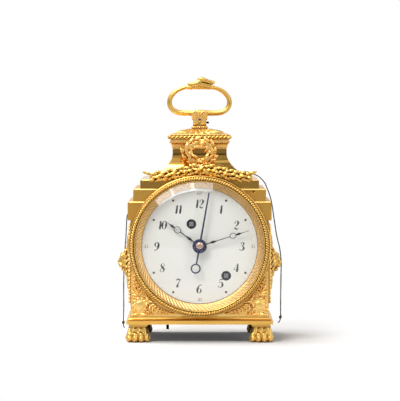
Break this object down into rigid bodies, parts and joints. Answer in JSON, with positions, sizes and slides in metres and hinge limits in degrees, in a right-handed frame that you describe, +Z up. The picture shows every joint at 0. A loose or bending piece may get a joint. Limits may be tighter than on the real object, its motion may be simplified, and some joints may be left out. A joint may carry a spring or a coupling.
{
  "type": "travelling clock",
  "caption": "Travelling officer's clock in a gilt bronze case on lion paw feet, with a glazed round dial, stepped shoulders, a serpent loop handle and a two barrel movement.",
  "frame": {"origin": "on the floor under the middle of the case", "axes": "+Z up, -Y towards the dial, +X to the dial's three o'clock"},
  "size_m": [0.1323, 0.103, 0.2134],
  "materials": {
    "gilt_bronze": "matt and burnished fire gilding",
    "burnished_gilt": "burnished fire gilding",
    "enamel": "white vitreous enamel",
    "brass": "polished brass",
    "bell_metal": "turned bell metal",
    "glass": "polished",
    "steel": "polished steel",
    "blued_steel": "heat blued steel",
    "copper_collet": "polished brass, reddish",
    "cord": "twisted silk cord"
  },
  "bodies": {
    "case": {"plinth": "gilt_bronze", "foot_front_left": "gilt_bronze", "foot_front_right": "gilt_bronze", "foot_rear_left": "gilt_bronze", "foot_rear_right": "gilt_bronze", "lower_case": "burnished_gilt", "step_lower": "burnished_gilt", "step_middle": "burnished_gilt", "step_upper": "burnished_gilt", "neck": "burnished_gilt", "cornice": "gilt_bronze", "rope_band": "gilt_bronze", "dome_cap": "gilt_bronze", "handle_post": "gilt_bronze", "handle_pin": "steel", "wreath": "gilt_bronze", "laurel_garland": "gilt_bronze", "spandrel_left": "gilt_bronze", "spandrel_right": "gilt_bronze", "side_panel_left": "gilt_bronze", "side_panel_right": "gilt_bronze", "side_ornament_left": "gilt_bronze", "side_ornament_right": "gilt_bronze", "dial_plate": "enamel", "dial_ring": "brass", "movement_front_plate": "brass", "movement_back_plate": "brass", "balance_cock": "brass", "bell": "bell_metal", "pull_cord_left": "cord", "pull_cord_right": "cord", "cord_beads": "cord"},
    "front_door": {"bezel_ring": "gilt_bronze", "reflector_ring": "gilt_bronze", "front_glass": "glass", "bezel_hinge_pin": "brass"},
    "back_door": {"back_door_ring": "gilt_bronze", "back_glass": "glass", "back_hinge_pin": "brass", "back_door_knob": "gilt_bronze"},
    "handle": {"handle_cup": "gilt_bronze", "handle_loop": "gilt_bronze"},
    "minute_arbor": {"centre_wheel": "brass", "cannon_pinion": "steel", "minute_hand": "blued_steel"},
    "hour_pipe": {"hour_wheel": "brass", "hour_hand": "blued_steel"},
    "alarm_setting": {"alarm_hand": "blued_steel", "hand_collet": "copper_collet"},
    "motion_wheel": {"minute_wheel": "brass"},
    "going_barrel": {"going_barrel": "brass"},
    "going_winder": {"going_arbor": "steel"},
    "strike_barrel": {"strike_barrel": "brass"},
    "strike_winder": {"strike_arbor": "steel"},
    "pin_wheel": {"strike_pin_wheel": "brass"},
    "third_wheel": {"third_wheel": "brass"},
    "escape_wheel": {"escape_wheel": "brass"},
    "balance": {"balance_wheel": "brass"},
    "hammer": {"strike_hammer": "steel"},
    "strike_silent_lever": {"strike_lever": "steel"}
  },
  "joints": [
    {"name": "minute_spin", "type": "hinge", "parent": "case", "child": "minute_arbor", "pos_m": [0, 0, 0.0775], "axis": [0, 1, 0], "continuous": true},
    {"name": "hour_spin", "type": "hinge", "parent": "case", "child": "hour_pipe", "pos_m": [0, 0, 0.0775], "axis": [0, 1, 0], "continuous": true},
    {"name": "motion_wheel_spin", "type": "hinge", "parent": "case", "child": "motion_wheel", "pos_m": [-0.01034, 0, 0.07374], "axis": [0, 1, 0], "continuous": true},
    {"name": "going_barrel_spin", "type": "hinge", "parent": "case", "child": "going_barrel", "pos_m": [-0.0066, 0, 0.095], "axis": [0, 1, 0], "continuous": true},
    {"name": "third_wheel_spin", "type": "hinge", "parent": "case", "child": "third_wheel", "pos_m": [-0.01522, 0, 0.07196], "axis": [0, 1, 0], "continuous": true},
    {"name": "escape_wheel_spin", "type": "hinge", "parent": "case", "child": "escape_wheel", "pos_m": [-0.01953, 0, 0.06012], "axis": [0, 1, 0], "continuous": true},
    {"name": "alarm_setting_spin", "type": "hinge", "parent": "case", "child": "alarm_setting", "pos_m": [0, 0, 0.0775], "axis": [0, 1, 0], "continuous": true},
    {"name": "going_winding_spin", "type": "hinge", "parent": "case", "child": "going_winder", "pos_m": [-0.0066, 0, 0.095], "axis": [0, 1, 0], "continuous": true},
    {"name": "strike_winding_spin", "type": "hinge", "parent": "case", "child": "strike_winder", "pos_m": [0.0213, 0, 0.0535], "axis": [0, 1, 0], "continuous": true},
    {"name": "strike_barrel_spin", "type": "hinge", "parent": "case", "child": "strike_barrel", "pos_m": [0.0213, 0, 0.0535], "axis": [0, 1, 0], "continuous": true},
    {"name": "pin_wheel_spin", "type": "hinge", "parent": "case", "child": "pin_wheel", "pos_m": [0.0026, 0, 0.0535], "axis": [0, 1, 0], "continuous": true},
    {"name": "front_door_hinge", "type": "hinge", "parent": "case", "child": "front_door", "pos_m": [-0.0564, -0.0426, 0.0775], "axis": [0, 0, -1], "range_deg": [0, 110]},
    {"name": "back_door_hinge", "type": "hinge", "parent": "case", "child": "back_door", "pos_m": [0.0458, 0.0426, 0.0775], "axis": [0, 0, -1], "range_deg": [0, 110]},
    {"name": "handle_hinge", "type": "hinge", "parent": "case", "child": "handle", "pos_m": [0, 0, 0.1759], "axis": [1, 0, 0], "range_deg": [-65, 65]},
    {"name": "balance_swing", "type": "hinge", "parent": "case", "child": "balance", "pos_m": [-0.02593, 0, 0.06012], "axis": [0, 1, 0], "range_deg": [-120, 120], "stiffness_Nm_per_rad": 0.0001},
    {"name": "hammer_swing", "type": "hinge", "parent": "case", "child": "hammer", "pos_m": [0.027, 0, 0.0505], "axis": [0, 1, 0], "range_deg": [-2, 14], "stiffness_Nm_per_rad": 0.02},
    {"name": "strike_lever_swing", "type": "hinge", "parent": "case", "child": "strike_silent_lever", "pos_m": [-0.026, 0.006, 0.017], "axis": [0, 0, 1], "range_deg": [0, 16]}
  ],
  "couplings": [
    {"joint": "hour_spin", "follows": "minute_spin", "ratio": 0.083333},
    {"joint": "motion_wheel_spin", "follows": "minute_spin", "ratio": -0.33333},
    {"joint": "going_barrel_spin", "follows": "minute_spin", "ratio": -0.16667},
    {"joint": "third_wheel_spin", "follows": "minute_spin", "ratio": -8},
    {"joint": "escape_wheel_spin", "follows": "minute_spin", "ratio": 64},
    {"joint": "pin_wheel_spin", "follows": "strike_barrel_spin", "ratio": -6}
  ]
}
